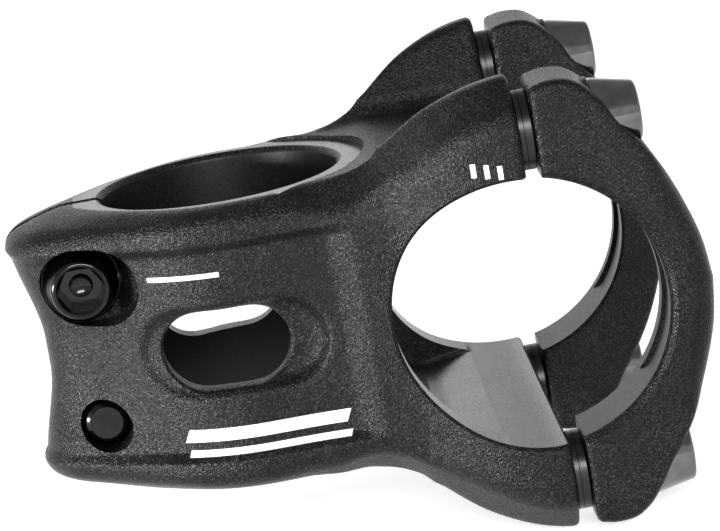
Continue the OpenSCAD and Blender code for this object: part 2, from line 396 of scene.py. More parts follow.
def peenedGroup():
    # fine dimpled grain of a blasted and anodised forging, with painted glints: rare bright specks in the
    # colour that stand in for light sparkling off the grain
    group, start, end = newGroup(
        "peenedGrainAndPaintedGlints",
        {"Base": (0.02, 0.02, 0.021, 1), "Fleck": (0.2, 0.2, 0.21, 1), "Grain Size": 0.35, "Grit Size": 0.13,
         "Fleck Amount": 0.5, "Rough Low": 0.35, "Rough High": 0.5},
        ("Color", "Roughness", "Height"))
    t, p = group, peening
    position = objectPosition(t)
    scale = mathNode(t, "DIVIDE", perMetre, start["Grain Size"])
    grain = t.nodes.new("ShaderNodeTexVoronoi")
    grain.feature = "SMOOTH_F1"
    grain.inputs["Smoothness"].default_value = p["smoothness"]
    t.links.new(position, grain.inputs["Vector"])
    t.links.new(scale, grain.inputs["Scale"])
    fine = noise(t, position, mathNode(t, "MULTIPLY", scale, p["fineScale"]), 1.0, 0.5)
    patch = noise(t, position, p["patchScale"], 3.0, 0.55)
    grit = t.nodes.new("ShaderNodeTexVoronoi")
    t.links.new(position, grit.inputs["Vector"])
    t.links.new(mathNode(t, "DIVIDE", perMetre, start["Grit Size"]), grit.inputs["Scale"])
    chance = t.nodes.new("ShaderNodeSeparateColor")
    t.links.new(grit.outputs["Color"], chance.inputs[0])
    height = mathNode(t, "ADD", mathNode(t, "MULTIPLY", grain.outputs["Distance"], p["dimples"]), fine)
    patchy = remap(t, patch, p["patchRange"], p["patchFlecks"])
    amount = mathNode(t, "MULTIPLY", start["Fleck Amount"], patchy)
    # painted glints: rare bright specks mixed into the colour, standing in for light sparkling off the grain
    paintedGlint = mathNode(t, "POWER", chance.outputs[0], p["paintedGlintRarity"])
    paintedGlint = mathNode(t, "MULTIPLY", paintedGlint, amount, clamp=True)
    t.links.new(mixColour(t, paintedGlint, start["Base"], start["Fleck"]), end["Color"])
    rough = weighted(t, fine, p["roughFine"], patch, p["roughPatch"])
    rough = weighted(t, rough, p["roughGrain"], chance.outputs[1], p["roughGrit"])
    rough = remap(t, rough, p["roughRange"], (start["Rough Low"], start["Rough High"]))
    t.links.new(rough, end["Roughness"])
    t.links.new(height, end["Height"])
    return group


turning = {
    "blotchScale": 420.0, "fineScale": 2600.0, "blotchRange": (0.3, 0.7), "blotchTint": (0.75, 1.25),
    "ringTint": 0.12, "ringHeight": 0.5, "fineHeight": 0.6,
}


def turnedGroup():
    # fine rings that a lathe leaves round an axis along one direction, with soft blotches
    group, start, end = newGroup(
        "turnedRings",
        {"Base": (0.02, 0.02, 0.02, 1), "Along": (1, 0, 0), "Ring Pitch": 0.12,
         "Rough Low": 0.2, "Rough High": 0.35},
        ("Color", "Roughness", "Height"))
    t, p = group, turning
    position = objectPosition(t)
    along = t.nodes.new("ShaderNodeVectorMath")
    along.operation = "DOT_PRODUCT"
    t.links.new(position, along.inputs[0])
    t.links.new(start["Along"], along.inputs[1])
    turns = mathNode(t, "DIVIDE", along.outputs["Value"], mathNode(t, "MULTIPLY", start["Ring Pitch"], mm))
    wave = mathNode(t, "SINE", mathNode(t, "MULTIPLY", turns, 2 * math.pi))
    blotch = noise(t, position, p["blotchScale"], 3.0, 0.55)
    fine = noise(t, position, p["fineScale"], 2.0, 0.5)
    height = weighted(t, wave, p["ringHeight"], fine, p["fineHeight"])
    tint = mathNode(t, "ADD", remap(t, blotch, p["blotchRange"], p["blotchTint"]),
                    mathNode(t, "MULTIPLY", wave, p["ringTint"]))
    colour = t.nodes.new("ShaderNodeVectorMath")
    colour.operation = "SCALE"
    t.links.new(start["Base"], colour.inputs[0])
    t.links.new(tint, colour.inputs["Scale"])
    t.links.new(colour.outputs["Vector"], end["Color"])
    rough = remap(t, blotch, p["blotchRange"], (start["Rough Low"], start["Rough High"]))
    t.links.new(rough, end["Roughness"])
    t.links.new(height, end["Height"])
    return group


def printGroup():
    # one plain painted bar on both flanks: a mask in the object's own X and Z
    group, start, end = newGroup(
        "paintBar",
        {"Centre X": 0.0, "Centre Z": 0.0, "Half Length": 5.0, "Half Height": 1.0,
         "Slant": 0.3, "Least Y": 10.0},
        ("Mask",))
    t = group
    soft = 0.04  # half width of the bar's soft edge
    split = t.nodes.new("ShaderNodeSeparateXYZ")
    t.links.new(objectPosition(t), split.inputs[0])
    x, y, z = (mathNode(t, "MULTIPLY", split.outputs[axis], perMetre) for axis in "XYZ")
    x = mathNode(t, "SUBTRACT", x, start["Centre X"])
    z = mathNode(t, "SUBTRACT", z, start["Centre Z"])
    x = mathNode(t, "SUBTRACT", x, mathNode(t, "MULTIPLY", z, start["Slant"]))
    pastEnd = mathNode(t, "SUBTRACT", mathNode(t, "ABSOLUTE", x), start["Half Length"])
    pastEdge = mathNode(t, "SUBTRACT", mathNode(t, "ABSOLUTE", z), start["Half Height"])
    mask = remap(t, mathNode(t, "MAXIMUM", pastEnd, pastEdge), (-soft, soft), (1.0, 0.0))
    outside = mathNode(t, "GREATER_THAN", mathNode(t, "ABSOLUTE", y), start["Least Y"])
    t.links.new(mathNode(t, "MULTIPLY", mask, outside), end["Mask"])
    return group


peened, turned, paintBar = peenedGroup(), turnedGroup(), printGroup()


def newMaterial(name):
    material = bpy.data.materials.new(name)
    material.use_nodes = True
    tree = material.node_tree
    return material, tree, tree.nodes["Principled BSDF"].inputs


def addGroup(tree, group, **values):
    node = tree.nodes.new("ShaderNodeGroup")
    node.node_tree = group
    for key, v in values.items():
        node.inputs[key.replace("_", " ")].default_value = v
    return node.outputs


def linkSurface(tree, shader, colour, surface, strength, distance):
    # the distance of the bump is in millimetres
    tree.links.new(colour, shader["Base Color"])
    tree.links.new(surface["Roughness"], shader["Roughness"])
    bump = tree.nodes.new("ShaderNodeBump")
    bump.inputs["Strength"].default_value = strength
    bump.inputs["Distance"].default_value = distance * mm
    tree.links.new(surface["Height"], bump.inputs["Height"])
    tree.links.new(bump.outputs["Normal"], shader["Normal"])


# the second colour of each look and its amount are painted glints: bright specks standing in for light
# sparkling off the grain
blackLook = {  # sizes in millimetres
    "forged": {"base": (0.0020, 0.0020, 0.0027, 1), "paintedGlint": (0.040, 0.040, 0.042, 1),
               "grain": 0.20, "gritSize": 0.12, "paintedGlintAmount": 0.8,
               "roughness": (0.20, 0.36), "bump": 1.0, "bumpDepth": 0.12, "specular": 0.14},
    "clampFace": {"base": (0.007, 0.007, 0.0075, 1), "paintedGlint": (0.03, 0.03, 0.031, 1),
                  "grain": 0.2, "gritSize": 0.13, "paintedGlintAmount": 0.4,
                  "roughness": (0.20, 0.34), "bump": 0.35, "bumpDepth": 0.012, "specular": 0.5},
    "plateBore": {"base": (0.004, 0.004, 0.0045, 1), "paintedGlint": (0.03, 0.03, 0.031, 1),
                  "grain": 0.22, "gritSize": 0.13, "paintedGlintAmount": 0.6,
                  "roughness": (0.34, 0.50), "bump": 0.8, "bumpDepth": 0.03, "specular": 0.3},
    "bore": {"base": (0.002, 0.002, 0.0022, 1), "paintedGlint": (0.02, 0.02, 0.0205, 1),
             "grain": 0.25, "gritSize": 0.13, "paintedGlintAmount": 0.5,
             "roughness": (0.34, 0.50), "bump": 0.6, "bumpDepth": 0.02, "specular": 0.2},
}
paint = {
    "colour": (0.80, 0.80, 0.80, 1),
    "bars": [  # centre x, centre z, half length, half height, slant, least y
        (0.6, -10.0, 9.6, 0.75, 0.45, 14.0), (0.6, -12.1, 9.6, 0.35, 0.45, 14.0),
        (-6.2, 9.3, 4.2, 0.28, 0.0, 12.0),
        (28.8, 17.8, 0.28, 0.8, 0.0, 24.0), (30.3, 17.5, 0.28, 0.8, 0.0, 24.0),
        (31.8, 17.2, 0.28, 0.8, 0.0, 24.0)],
}


def paintMask(tree):
    mask = None
    for x, z, length, height, slant, least in paint["bars"]:
        bar = addGroup(tree, paintBar, Centre_X=x, Centre_Z=z, Half_Length=length, Half_Height=height,
                       Slant=slant, Least_Y=least)["Mask"]
        mask = bar if mask is None else mathNode(tree, "MAXIMUM", mask, bar)
    return mask


def blackMaterial(name, look, painted=False):
    material, tree, shader = newMaterial(name)
    grain = addGroup(tree, peened, Base=look["base"], Fleck=look["paintedGlint"], Grain_Size=look["grain"],
                     Grit_Size=look["gritSize"], Fleck_Amount=look["paintedGlintAmount"],
                     Rough_Low=look["roughness"][0], Rough_High=look["roughness"][1])
    shader["Specular IOR Level"].default_value = look["specular"]
    colour = grain["Color"]
    if painted:
        colour = mixColour(tree, paintMask(tree), colour, paint["colour"])
    linkSurface(tree, shader, colour, grain, look["bump"], look["bumpDepth"])
    return material


steelLook = {  # base colour, axis of the turning marks, ring pitch in mm, roughness, bump, metallic, coat
    "bolt": ((0.13, 0.13, 0.135, 1), (1, 0, 0), 0.10, (0.10, 0.17), 0.12, 0.95, 0.3),
    "pinch": ((0.020, 0.020, 0.021, 1), (0, 1, 0), 0.10, (0.10, 0.17), 0.12, 0.95, 0.1),
    "washer": ((0.03, 0.03, 0.031, 1), (1, 0, 0), 0.15, (0.3, 0.45), 0.3, 1.0, 0.0),
    "pinchWasher": ((0.03, 0.03, 0.031, 1), (0, 1, 0), 0.15, (0.3, 0.45), 0.3, 1.0, 0.0),
    "insert": ((0.035, 0.035, 0.037, 1), (1, 0, 0), 0.14, (0.26, 0.40), 0.25, 1.0, 0.0),
}
coatRoughness = 0.04
ringDepth = 0.004


def steelMaterial(name, base, along, pitch, rough, bump, metallic, coat):
    material, tree, shader = newMaterial(name)
    rings = addGroup(tree, turned, Base=base, Along=along, Ring_Pitch=pitch,
                     Rough_Low=rough[0], Rough_High=rough[1])
    shader["Metallic"].default_value = metallic
    shader["Coat Weight"].default_value = coat
    shader["Coat Roughness"].default_value = coatRoughness
    linkSurface(tree, shader, rings["Color"], rings, bump, ringDepth)
    return material


finishes = {
    "forged": blackMaterial("peenedBlack", blackLook["forged"], painted=True),
    "plate": blackMaterial("peenedBlackPlate", blackLook["forged"]),
    "machined": blackMaterial("satinMachined", blackLook["clampFace"]),
    "plateBore": blackMaterial("satinPlateBore", blackLook["plateBore"]),
    "bore": blackMaterial("mattBore", blackLook["bore"]),
    "bolt": steelMaterial("glossBlackBolt", *steelLook["bolt"]),
    "pinch": steelMaterial("glossBlackPinch", *steelLook["pinch"]),
    "washer": steelMaterial("satinBlackWasher", *steelLook["washer"]),
    "pinchWasher": steelMaterial("satinBlackPinchWasher", *steelLook["pinchWasher"]),
    "insert": steelMaterial("turnedDarkSteel", *steelLook["insert"]),
}
print("finishes made:", len(finishes))


stem = {
    # side outline seen from above: two arcs and the arms
    "sideRadius": 19.5, "sideCentre": 1.0, "rearRadius": 9.55, "rearCentre": -17.5,
    "armHalfWidth": [(0.9, 19.5), (3, 19.5), (6, 19.5), (9, 19.7), (12, 20.1), (16, 20.8), (19.5, 21.8),
                     (22, 23.2), (24.5, 24.8), (27, 26.1), (29.5, 26.95), (32, 27.5), (34.7, 27.72),
                     (38, 27.74)],
    # side walls
    "panelDepth": 1.2, "panelTop": 13.1, "panelSlope": 1.1, "panelEnd": (10.8, 14.6), "panelLossRear": 0.55,
    "rearDepth": 2.4, "rearWaist": (1.5, 14.4), "rearFrom": (9.0, 22.0),
    # tops
    "topFace": 17.2, "collarStep": 0.45, "collarFrom": (4, 9), "web": 18.45, "webFrom": (14, 20),
    "hornHeight": [(8, 12.4), (10, 14.2), (12.7, 16.5), (15.3, 18.6), (17.8, 20.7), (20.3, 22.3), (23, 23.8),
                   (26, 25.2), (30.3, 26.7), (33.7, 27.3), (38, 27.36)],
    "hornInner": 16.3, "hornLean": 0.55, "hornLeanFrom": 20.5, "hornRound": 0.9, "valleyRound": 2.4,
    # the sloping band between wall and top: how far it reaches outward and downward
    "shoulderOut": [(-27, 5.6), (-21, 4.9), (-14.5, 3.6), (-8.6, 2.7), (-2.7, 2.4), (3.2, 2.6), (8, 3.2),
                    (11.6, 4.3), (16, 4.9), (38, 4.8)],
    "shoulderDown": [(-27, 2.4), (8, 2.4), (12, 3.3), (16, 4.2), (20.8, 4.9), (31, 4.3), (38, 4.3)],
    "softFrom": (12, 25), "wallRound": 1.2, "wallRoundRear": 1.0, "topRound": 0.5, "topRoundRear": 1.9,
    "frontFace": 34.7, "frontRound": 0.8,
    "pocketBack": 17.3, "pocketHeight": 15.1, "pocketSide": 4.6, "pocketRound": 5.0, "pocketWallRound": 0.7,
    "pocketLip": 0.35, "pocketFloor": {"x": (21, 28.6), "y": 22.3, "z": (11, 15.7)},
    # side window and the stepped recess round it: length, height, centre x
    "window": (15.2, 9.7, -2.5), "recess": (22.3, 10.9, -1.55), "recessDepth": 0.75, "recessDeeper": 1.15,
    "recessFrom": (-12, 6), "recessDraft": 0.6, "recessRound": 0.9, "recessLip": 0.4,
    # bores and holes
    "steererRadius": 14.35, "rimDeep": 1.0, "rimWide": 0.85, "seatRadius": 18.0,
    "barRadius": 15.95, "barCentre": 33.0,
    "slit": 1.5, "slitRound": 0.8, "slitEnd": -8,
    "clampBolt": (21.9, 20.6), "insertDepth": 7.0,
    "insertHole": [(0, 3.3), (2.6, 3.3), (3.4, 3.7), (8.0, 3.7)],
    "pinchBolt": (-18.4, 8.6), "pinchPass": 3.3, "pinchThread": 3.15, "pinchSeat": 4.9, "pinchSeatAt": 4.4,
    "mouthWidth": 10.0, "mouthLonger": 1.8, "mouthFrom": 5.2, "mouthWall": 0.9,
    "barEdge": 0.4, "windowEdge": 0.38, "frontEdge": 0.35,
    "skinLow": (-28.2, -28.6, -28.2), "skinHigh": (36.0, 28.8, 28.4), "cell": 0.36,
}
armWidth = smoothCurve(stem["armHalfWidth"])
hornHeight = smoothCurve(stem["hornHeight"])
shoulderOut = smoothCurve(stem["shoulderOut"])
shoulderDown = smoothCurve(stem["shoulderDown"])


def planDistance(x, y):
    # distance from the widest outline of the body, seen from above
    s = stem
    h = s["sideCentre"] - s["rearCentre"]
    b = (s["sideRadius"] - s["rearRadius"]) / h
    a = math.sqrt(1 - b * b)
    t = s["sideCentre"] - x
    k = a * t - b * y
    flank = np.where(k > a * h, np.hypot(y, t - h) - s["rearRadius"], a * y + b * t - s["sideRadius"])
    rear = np.where(k < 0, np.hypot(y, t) - s["sideRadius"], flank)
    return np.where(x < s["sideCentre"], rear, y - armWidth(x))


def wallDistance(x, y, z):
    # the side wall, sunk between the two rims, and waisted at the rear
    s = stem
    sunk = np.clip((s["panelTop"] - z) / s["panelSlope"], 0, 1)
    side = s["panelDepth"] * sunk * (1 - ease(x, *s["panelEnd"]))
    rear = s["rearDepth"] * (1 - ease(z, *s["rearWaist"]))
    share = ease(-x, *s["rearFrom"])
    return planDistance(x, y) + side * (1 - s["panelLossRear"] * share) + rear * share


def topDistance(x, y, z):
    # the flat top, stepping up to the web, with a horn on the outer side
    s = stem
    step = s["collarStep"]
    web = s["topFace"] + step * ease(x, *s["collarFrom"])
    web = web + (s["web"] - s["topFace"] - step) * ease(x, *s["webFrom"])
    inner = s["hornInner"] + s["hornLean"] * np.maximum(z - s["hornLeanFrom"], 0)
    return blendMin(z - web, blendMax(z - hornHeight(x), inner - y, s["hornRound"]), s["valleyRound"])


def bodyField(x, y, z):
    # one quarter, mirrored to the other side and the underside
    s = stem
    y, z = np.abs(y), np.abs(z)
    wall, top = wallDistance(x, y, z), topDistance(x, y, z)
    out, down = shoulderOut(x), shoulderDown(x)
    shoulder = (planDistance(x, y) / out + top / down + 1) / np.sqrt(1 / out**2 + 1 / down**2)
    rearSoft = ease(-x, *s["softFrom"])
    f = blendMax(wall, shoulder, s["wallRound"] + s["wallRoundRear"] * rearSoft)
    f = blendMax(f, top, s["topRound"] + s["topRoundRear"] * rearSoft)
    f = blendMax(f, x - s["frontFace"], s["frontRound"])
    pocket = blendMax(s["pocketBack"] - x, z - s["pocketHeight"], s["pocketRound"])
    pocket = blendMax(pocket, y - (armWidth(x) - s["pocketSide"]), s["pocketWallRound"])
    f = blendMax(f, -pocket, s["pocketLip"])
    length, height, centre = s["recess"]
    depth = s["recessDepth"] + s["recessDeeper"] * ease(x, *s["recessFrom"])
    draft = s["recessDraft"]
    sides = (slotShape(x - centre, z, length, height) - draft * np.clip(wall, -3, 0)) / math.hypot(1, draft)
    recess = blendMax(sides, -(wall + depth), s["recessRound"])
    return blendMax(f, -recess, s["recessLip"])


def surfaceAlong(field, starts, direction, reach, samples=160, halvings=24):
    # the first point of the surface met from each start, going along a direction
    steps = np.linspace(0, reach, samples)
    values = np.stack([field(*(starts + direction * t).T) for t in steps])
    first = np.argmax(values < 0, axis=0)
    hit = steps[np.maximum(first, 1)]
    low, high = hit - steps[1], hit
    for _ in range(halvings):
        mid = (low + high) / 2
        inside = field(*(starts + direction * mid[:, None]).T) < 0
        high, low = np.where(inside, mid, high), np.where(inside, low, mid)
    return starts + direction * high[:, None]


def rimBreak(name, rim, centre, side, size, reach, closed):
    # takes the corner off where a hole drawn along Y meets the outer surface
    inward, outside = np.array((0.0, -side, 0.0)), 30.0
    p = surfaceAlong(bodyField, rim - inward * outside, inward, reach)
    normal = unit(fieldSlope(bodyField, p))
    radial = unit(rim - centre)
    along = unit(radial - (radial * normal).sum(1)[:, None] * normal)
    return edgeBreak(name, p, np.tile(inward, (len(p), 1)), along, size, closed)


def boreCutters():
    s = stem
    r, top, clear = s["steererRadius"], s["topFace"], 40  # clear: how far a cutter runs past the body
    cuts = []
    for side in (1, -1):
        cuts.append(cylinder(f"seatCut{side}", s["seatRadius"], 0, 12, (0, 0, side * top), (0, 0, side), 192))
    cuts.append(cylinder("steererCut", r, -clear, clear, (0, 0, 0), (0, 0, 1), 192))
    for side in (1, -1):
        # a soft rim where the steerer bore meets its seats
        deep, wide, skin = s["rimDeep"], s["rimWide"], 0.02
        profile = [(-deep - 0.6, 0), (-deep - 0.6, r - 0.4)]
        profile += [(-deep + deep * math.sin(a), r - skin + wide * (1 - math.cos(a)))
                    for a in np.linspace(0, math.pi / 2, 9)]
        profile += [(0.6, r - skin + wide), (0.6, 0)]
        cuts.append(lathe(f"rimCut{side}", profile, (0, 0, side * top), (0, 0, side), 192))
    cuts.append(cylinder("barCut", s["barRadius"], -clear, clear, (s["barCentre"], 0, 0), (0, 1, 0), 224))
    half, soft = s["slit"] / 2, s["slitRound"]
    edge = [(-r - soft + soft * math.sin(a), half + soft - soft * math.cos(a))
            for a in np.linspace(0, math.pi / 2, 7)]
    outline = [(-32, half)] + edge + [(s["slitEnd"], half + soft)]
    outline = outline + [(x, -y) for x, y in reversed(outline)]
    cuts.append(prism("slitCut", outline, -clear, clear, "z"))
    length, height, centre = s["window"]
    cuts.append(prism("windowCut", roundOutline(length, height, (centre, 0)), -clear, clear, "y"))
    return cuts


def boltCutters():
    s = stem
    clear = 30  # how far a cutter runs from its bolt's middle, past the side wall
    cuts = []
    y, z = s["clampBolt"]
    hole = [(0, 0)] + s["insertHole"] + [(s["insertHole"][-1][0], 0)]
    for sy in (1, -1):
        for sz in (1, -1):
            origin = (s["frontFace"] - s["insertDepth"], sy * y, sz * z)
            cuts.append(lathe(f"insertCut{sy}{sz}", hole, origin, (1, 0, 0), 64))
    x, z = s["pinchBolt"]
    for turn in (1, -1):  # the lower bolt is the upper one turned half round
        out, level, width = (0, -turn, 0), turn * z, s["mouthWidth"]
        cuts.append(cylinder(f"pinchPass{turn}", s["pinchPass"], 0, clear, (x, 0, level), out, 64))
        thread = cylinder(f"pinchThread{turn}", s["pinchThread"], -1, clear, (x, 0, level), (0, turn, 0), 64)
        cuts.append(thread)
        seat = (x, -turn * s["pinchSeatAt"], level)
        cuts.append(cylinder(f"pinchSeat{turn}", s["pinchSeat"], 0, clear, seat, out, 96))
        outline = roundOutline(width + s["mouthLonger"], width, (x + s["mouthLonger"] / 2, level))
        mouth = prism(f"pinchMouth{turn}", outline, *sorted((-turn * s["mouthFrom"], -turn * 34.0)), "y")
        inside = s["steererRadius"] + s["mouthWall"]  # the mouth stops short of the steerer bore
        wall = cylinder(f"boreWall{turn}", inside, -40, 40, (0, 0, 0), (0, 0, 1), 192)
        cuts.append(carve(mouth, [wall]))
    return cuts


def edgeBreaks():
    s = stem
    bar, front, centreX = s["barRadius"], s["frontFace"], s["barCentre"]
    angles = np.radians(np.linspace(76, 284, 170))  # the rear of the clamp bore, a little more than half
    arc = np.stack([centreX + bar * np.cos(angles), 0 * angles, bar * np.sin(angles)], 1)
    arc = arc[arc[:, 0] < front - 0.05]
    length, height, centre = s["window"]
    outline = np.array(roundOutline(length, height, (centre, 0)))
    window = np.stack([outline[:, 0], np.zeros(len(outline)), outline[:, 1]], 1)
    breaks = []
    for side in (1, -1):
        breaks.append(rimBreak(f"barRim{side}", arc, (centreX, 0, 0), side, s["barEdge"], 14.0, False))
        middle = window.mean(0)
        breaks.append(rimBreak(f"windowRim{side}", window, middle, side, s["windowEdge"], 20.0, True))
    for sz in (1, -1):
        z = math.sqrt(bar ** 2 - (front - centreX) ** 2)
        line = np.array([(front, t, sz * z) for t in np.linspace(-30, 30, 7)])
        inward, along = [(-1, 0, 0)] * len(line), [(0, 0, sz)] * len(line)
        breaks.append(edgeBreak(f"cradleFront{sz}", line, inward, along, s["frontEdge"], False))
    return breaks


def finishStem(piece):
    # bare cut faces in the clamp, on the seats and on the pocket's floor, and the dull steerer bore
    s = stem
    finishWith(piece, "forged", "machined", "bore")
    p, n = faceCentres(piece)
    x, y, z = p.T
    acrossBore, floor = np.hypot(x, y), s["pocketFloor"]
    inBore = (np.abs(acrossBore - s["steererRadius"]) < 0.12) & (np.abs(z) < s["topFace"] + 0.1)
    inCradle = (np.abs(np.hypot(x - s["barCentre"], z) - s["barRadius"]) < 0.1) & (np.abs(n[:, 1]) < 0.3)
    onSeat = (np.abs(np.abs(z) - s["topFace"]) < 0.03) & (acrossBore < s["seatRadius"])
    onSeat = onSeat & (np.abs(n[:, 2]) > 0.98)
    inPocket = between(x, *floor["x"]) & (np.abs(y) < floor["y"]) & between(np.abs(z), *floor["z"])
    inPocket = inPocket & (n[:, 2] * z < -5)
    index = np.where(inBore, 2, np.where(inCradle | onSeat | inPocket, 1, 0))
    piece.data.polygons.foreach_set("material_index", index.astype(np.int32))


def makeStemBody():
    c = stem["cell"]
    low = tuple(v + c / 3 for v in stem["skinLow"])  # keeps the flat faces off the grid's own planes
    piece = skinField("stemBody", bodyField, low, stem["skinHigh"], c)
    print("stem body skinned:", len(piece.data.polygons), "faces")
    carve(piece, boreCutters() + boltCutters() + edgeBreaks())
    tidy(piece, 32)
    finishStem(piece)
    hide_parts("stem_body")
    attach(piece, "stem")
    print("stem body cut:", len(piece.data.polygons), "faces")


makeStemBody()


plate = {
    "outline": [(36.5, 25.9), (38, 26.5), (39.6, 26.6), (41.2, 26.35), (43, 25.2), (44.6, 23.3), (46.6, 20.4),
                (48.9, 17.0), (50.8, 13.6), (52.5, 9.5), (53.9, 4.9), (54.55, 0)],
    "centreY": 21.9, "halfWidth": 5.3, "rear": 36.5, "rearRound": 0.7,
    "outerRound": 3.1, "boltRound": 1.1, "boltFrom": (11.5, 16.5), "innerRound": 1.0,
    "bore": 15.95, "innerEdge": 0.35, "step": 0.32, "stepAt": 0.75, "outerEdge": 0.95, "outerEdgeAt": 0.5,
    "boltZ": 20.6, "boltPass": 3.3, "seatX": 43.0, "seatRadius": 5.0,
    "groove": {"low": 19.1, "high": 24.8, "depth": 0.5, "degrees": 47.0, "runOut": 10},
    "skinLow": (35.9, 16.0, -27.6), "skinHigh": (55.6, 27.9, 27.8), "cell": 0.34,
}


def plateOutline():
    upper = np.array(plate["outline"])
    s = np.concatenate([[0], np.cumsum(np.hypot(*np.diff(upper, axis=0).T))])
    fine = np.linspace(0, s[-1], 90)
    cx, cz = (smoothCurve(np.stack([s, upper[:, axis]], 1)) for axis in (0, 1))
    half = np.stack([cx(fine), cz(fine)], 1)
    half[:, 0] -= 3 * np.clip(1 - fine / 1.2, 0, 1)  # runs on behind the rear face, which is cut square
    return np.concatenate([half, half[-2::-1] * (1, -1)])


plateLine = plateOutline()


def outlineDistance(x, z):
    # signed distance to the closed side outline
    shape = x.shape
    q = np.stack([x.ravel(), z.ravel()], 1)
    best = np.full(len(q), 1e9)
    flip = np.zeros(len(q), bool)
    for p0, p1 in zip(plateLine, np.roll(plateLine, -1, axis=0)):
        e = p1 - p0
        w = q - p0
        t = np.clip((w @ e) / max(e @ e, 1e-12), 0, 1)
        d = w - t[:, None] * e
        best = np.minimum(best, (d * d).sum(1))
        spans = (p0[1] <= q[:, 1]) != (p1[1] <= q[:, 1])
        if abs(e[1]) > 1e-12:
            cross = p0[0] + (q[:, 1] - p0[1]) / e[1] * e[0]
            flip ^= spans & (q[:, 0] < cross)
    return np.where(flip, -1, 1).reshape(shape) * np.sqrt(best).reshape(shape)


def plateField(x, y, z):
    # drawn for the plate on +Y, whose outer side is the higher Y
    p = plate
    if x.ndim == 3:
        d = np.broadcast_to(outlineDistance(x[:, 0, :], z[:, 0, :])[:, None, :], x.shape)
    else:
        d = outlineDistance(x, z)
    w = y - p["centreY"]
    soft = p["outerRound"] + (p["boltRound"] - p["outerRound"]) * ease(np.abs(z), *p["boltFrom"])
    f = blendMax(d, w - p["halfWidth"], soft)
    f = blendMax(f, -w - p["halfWidth"], p["innerRound"])
    return blendMax(f, p["rear"] - x, p["rearRound"])


def grooveCutter(steps=64):
    # a piece of a ring round the bar axis, which runs out at both ends
    g, c = plate["groove"], stem["barCentre"]
    inner, outer, shallow = plate["bore"] - 2, plate["bore"] + g["depth"], plate["bore"] - 0.4
    verts, faces = [], []
    for degrees in np.linspace(-g["degrees"], g["degrees"], steps + 1):
        a = math.radians(degrees)
        deep = outer - (outer - shallow) * (1 - ease(g["degrees"] - abs(degrees), 0, g["runOut"]))
        for r, y in ((inner, g["low"]), (deep, g["low"]), (deep, g["high"]), (inner, g["high"])):
            verts.append((c + r * math.cos(a), y, r * math.sin(a)))
    for i in range(steps):
        for s in range(4):
            t = (s + 1) % 4
            faces.append((4 * i + s, 4 * i + t, 4 * i + 4 + t, 4 * i + 4 + s))
    faces += [(3, 2, 1, 0), tuple(4 * steps + k for k in range(4))]
    return faceOut(meshPiece("plateGroove", verts, faces))


def plateCutters():
    p = plate
    r, inner, outer = p["bore"], p["centreY"] - p["halfWidth"], p["centreY"] + p["halfWidth"]
    rows = [(inner - 3, r + p["innerEdge"]), (inner, r + p["innerEdge"]), (inner + 0.3, r),
            (outer - p["stepAt"], r), (outer - p["stepAt"], r + p["step"]),
            (outer - p["outerEdgeAt"], r + p["step"]),
            (outer + 0.05, r + p["outerEdge"]), (outer + 3, r + p["outerEdge"])]
    bore = [(rows[0][0], 0)] + rows + [(rows[-1][0], 0)]
    cuts = [lathe("plateBore", bore, (stem["barCentre"], 0, 0), (0, 1, 0), 224), grooveCutter()]
    for sz in (1, -1):
        y, z = p["centreY"], sz * p["boltZ"]
        cuts.append(cylinder(f"plateBolt{sz}", p["boltPass"], 0, 30, (30, y, z), (1, 0, 0), 64))
        cuts.append(cylinder(f"plateSeat{sz}", p["seatRadius"], 0, 14, (p["seatX"], y, z), (1, 0, 0), 96))
    return cuts


def finishPlate(piece):
    finishWith(piece, "plate", "plateBore")
    q, n = faceCentres(piece)
    outX, outZ = q[:, 0] - stem["barCentre"], q[:, 2]
    radius = np.hypot(outX, outZ)
    facing = -(outX * n[:, 0] + outZ * n[:, 2]) / radius
    inBore = (radius < plate["bore"] + plate["groove"]["depth"] + 0.05) & (facing > 0.9)
    piece.data.polygons.foreach_set("material_index", inBore.astype(np.int32))


def makeFaceplates():
    c = plate["cell"]
    low = tuple(v + share * c for v, share in zip(plate["skinLow"], (1 / 3, 1 / 3, 0)))
    source = skinField("plateSource", plateField, low, plate["skinHigh"], c)
    carve(source, plateCutters())
    tidy(source, 32)
    for side, name in ((-1, "right"), (1, "left")):
        mesh = source.data.copy()
        mesh.name = f"faceplate{name.capitalize()}"
        piece = bpy.data.objects.new(f"faceplate{name.capitalize()}", mesh)
        bpy.context.scene.collection.objects.link(piece)
        if side < 0:
            mesh.transform(Matrix.Diagonal((1, -1, 1, 1)))
            mesh.flip_normals()
        finishPlate(piece)
        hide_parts(f"faceplate_{name}")
        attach(piece, f"faceplate_{name}")
    dropPiece(source)
    print("faceplates made:", len(mesh.polygons), "faces each")


makeFaceplates()


bolt = {
    "threadRadius": 3.0, "threadDepth": 0.42, "pitch": 1.0, "crest": 1.25, "flank": 2.6, "fade": 0.8,
    "headBase": 4.6, "headTip": 3.5, "headLength": 5.4, "rim": 0.55, "mouthFlat": 3.12,
    "baseEdge": [(0, 0.25), (0.08, 0.08), (0.25, 0)],  # height on the head, and how far in
    "socketFlats": 5.0, "socketDepth": 3.2, "mouth": [(-0.45, 2.52), (0.05, 3.02), (1, 3.9)],
    "dimple": 1.45, "dimpleDepth": 0.9, "tipFlat": 1.95, "tipShoulder": 0.5, "tipLength": 0.9,
    "clampPlain": 3.2, "pinchPlain": 3.0, "neckInHead": 0.5,
}
washer = {"outer": 4.8, "inner": 3.05, "thick": 0.7, "soft": 0.12}
insert = {"sleeve": 3.65, "collar": 4.7, "inner": 3.05, "relief": 0.2, "deep": 6.9, "tall": 1.7,
          "edge": 0.15, "footEdge": 0.1, "mouth": 0.3, "grooveAt": 0.62, "groove": 0.08}
smallSharp = 28  # degrees above which an edge of the small pieces stays sharp


